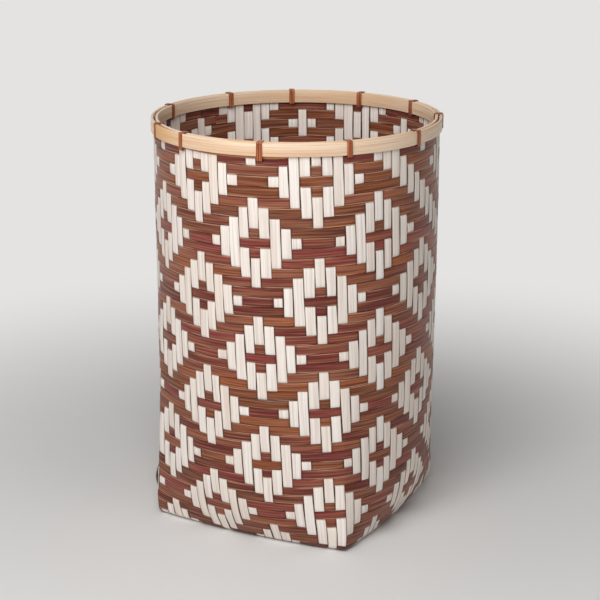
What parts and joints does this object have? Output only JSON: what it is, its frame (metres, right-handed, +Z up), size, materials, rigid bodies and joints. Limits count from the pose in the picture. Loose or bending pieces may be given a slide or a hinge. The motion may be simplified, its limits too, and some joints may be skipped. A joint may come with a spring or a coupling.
{
  "type": "woven laundry basket",
  "caption": "Tall woven bamboo laundry basket with a square base, a round mouth and a lashed double hoop rim.",
  "frame": {"origin": "centre of the base on the floor", "axes": "+Z up through the mouth, X and Y along the sides of the square base"},
  "size_m": [0.3999, 0.4011, 0.5671],
  "materials": {
    "stake_strips": "matte",
    "weaver_strips": "satin",
    "rim_hoops": "satin",
    "lashings": "satin"
  },
  "bodies": {
    "root": {"base_strips_crosswise": "stake_strips", "base_strips_lengthwise": "stake_strips", "rim_inner_hoop": "rim_hoops", "rim_lashings": "lashings", "rim_outer_hoop": "rim_hoops", "stakes_back": "stake_strips", "stakes_front": "stake_strips", "stakes_left": "stake_strips", "stakes_right": "stake_strips", "weaver_01": "weaver_strips", "weaver_02": "weaver_strips", "weaver_03": "weaver_strips", "weaver_04": "weaver_strips", "weaver_05": "weaver_strips", "weaver_06": "weaver_strips", "weaver_07": "weaver_strips", "weaver_08": "weaver_strips", "weaver_09": "weaver_strips", "weaver_10": "weaver_strips", "weaver_11": "weaver_strips", "weaver_12": "weaver_strips", "weaver_13": "weaver_strips", "weaver_14": "weaver_strips", "weaver_15": "weaver_strips", "weaver_16": "weaver_strips", "weaver_17": "weaver_strips", "weaver_18": "weaver_strips", "weaver_19": "weaver_strips", "weaver_20": "weaver_strips", "weaver_21": "weaver_strips", "weaver_22": "weaver_strips", "weaver_23": "weaver_strips", "weaver_24": "weaver_strips", "weaver_25": "weaver_strips", "weaver_26": "weaver_strips", "weaver_27": "weaver_strips", "weaver_28": "weaver_strips", "weaver_29": "weaver_strips", "weaver_30": "weaver_strips", "weaver_31": "weaver_strips", "weaver_32": "weaver_strips", "weaver_33": "weaver_strips", "weaver_34": "weaver_strips", "weaver_35": "weaver_strips", "weaver_36": "weaver_strips", "weaver_37": "weaver_strips", "weaver_38": "weaver_strips", "weaver_39": "weaver_strips", "weaver_40": "weaver_strips", "weaver_41": "weaver_strips", "weaver_42": "weaver_strips", "weaver_43": "weaver_strips", "weaver_44": "weaver_strips"}
  },
  "joints": []
}
